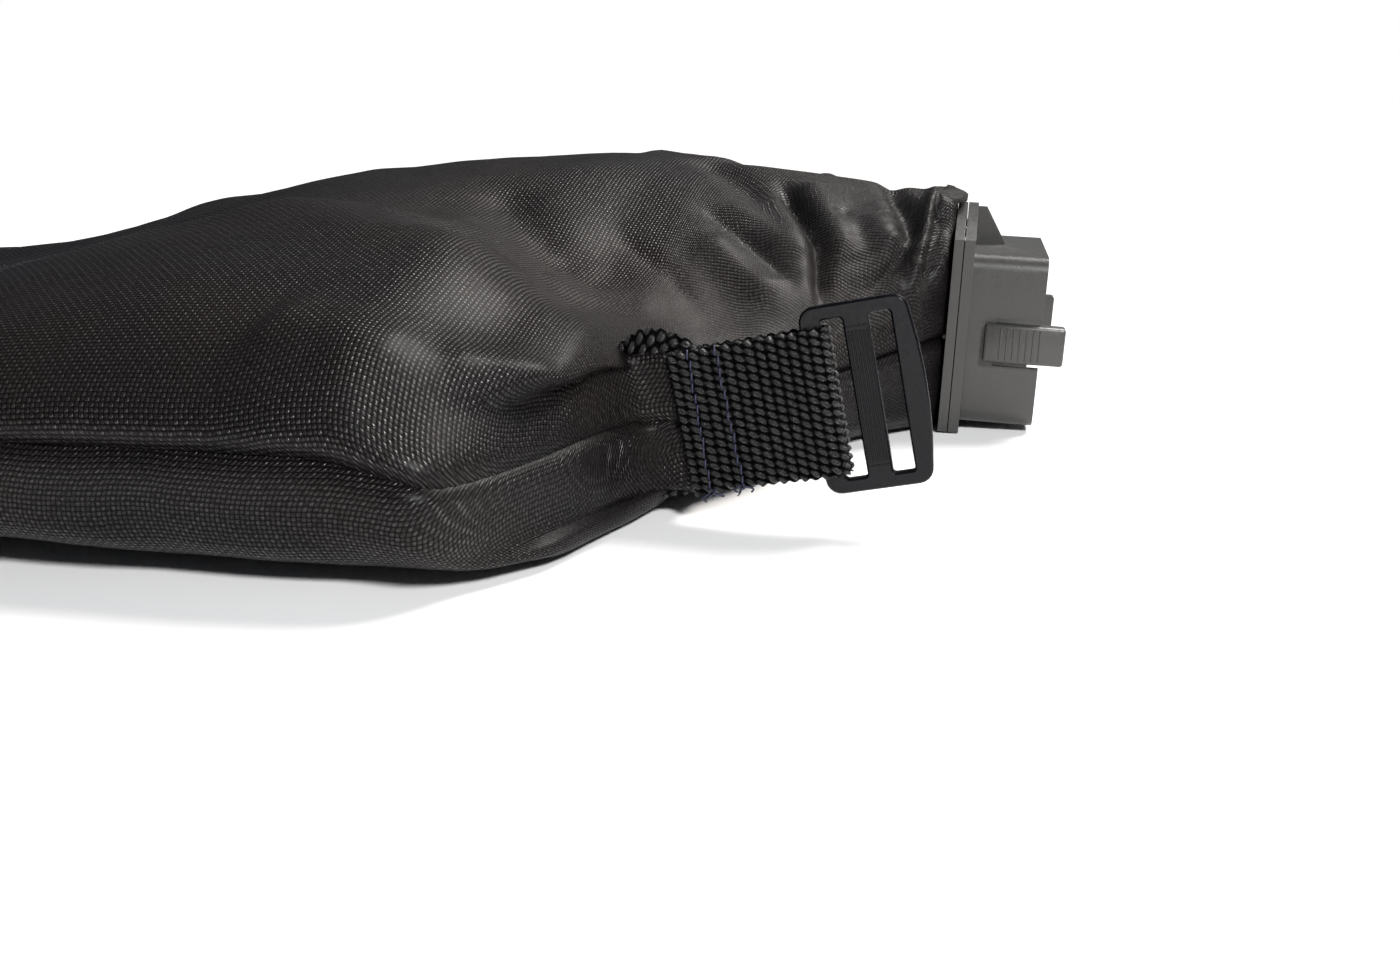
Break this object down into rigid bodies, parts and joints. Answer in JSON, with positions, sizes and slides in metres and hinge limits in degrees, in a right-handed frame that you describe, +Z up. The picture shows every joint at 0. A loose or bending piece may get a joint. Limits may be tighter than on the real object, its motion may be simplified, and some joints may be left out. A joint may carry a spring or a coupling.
{
  "type": "leaf vacuum collection bag",
  "caption": "Fabric collection bag lying flat, its mouth gathered into a moulded latch collar, with a webbing tab, a three-bar slide and a zip across its far end.",
  "frame": {"origin": "middle of the bag's footprint, on the surface that it lies on", "axes": "+X along the bag from the zipped tail to the collar, +Z up, and the strap tab on the -Y side"},
  "size_m": [0.5762, 0.48, 0.0879],
  "materials": {
    "bag_fabric": "coarse black plain weave with a faint sheen",
    "webbing": "black ribbed webbing and tape",
    "collar_plastic": "warm dark grey, fine moulded grain",
    "slide_plastic": "black moulded plastic, satin",
    "fastener_metal": "plated steel"
  },
  "bodies": {
    "bag": {"upper_panel": "bag_fabric", "lower_panel": "bag_fabric", "collar_body": "collar_plastic", "clamp_frame": "collar_plastic", "clamp_screw_1": "fastener_metal", "clamp_screw_2": "fastener_metal", "strap_tab": "webbing", "zip_tape_upper": "webbing", "zip_tape_lower": "webbing", "zip_teeth_upper": "slide_plastic", "zip_teeth_lower": "slide_plastic", "zip_stop_near": "fastener_metal", "zip_stop_far": "fastener_metal"},
    "strap_slide": {"triglide_slide": "slide_plastic"},
    "zip_runner": {"zip_slider": "fastener_metal"},
    "pull_tongue": {"zip_pull": "fastener_metal"}
  },
  "joints": [
    {"name": "slide_pivot", "type": "hinge", "parent": "bag", "child": "strap_slide", "pos_m": [0.22147, -0.15969, 0.03396], "axis": [-0.1908, 0, 0.9816], "range_deg": [-120, 120]},
    {"name": "zip_run", "type": "slide", "parent": "bag", "child": "zip_runner", "axis": [0, 1, 0], "range_m": [0, 0.339]},
    {"name": "zip_pull_pivot", "type": "hinge", "parent": "zip_runner", "child": "pull_tongue", "pos_m": [-0.28587, -0.1695, 0.016], "axis": [0, 0, 1], "range_deg": [0, 178]}
  ]
}
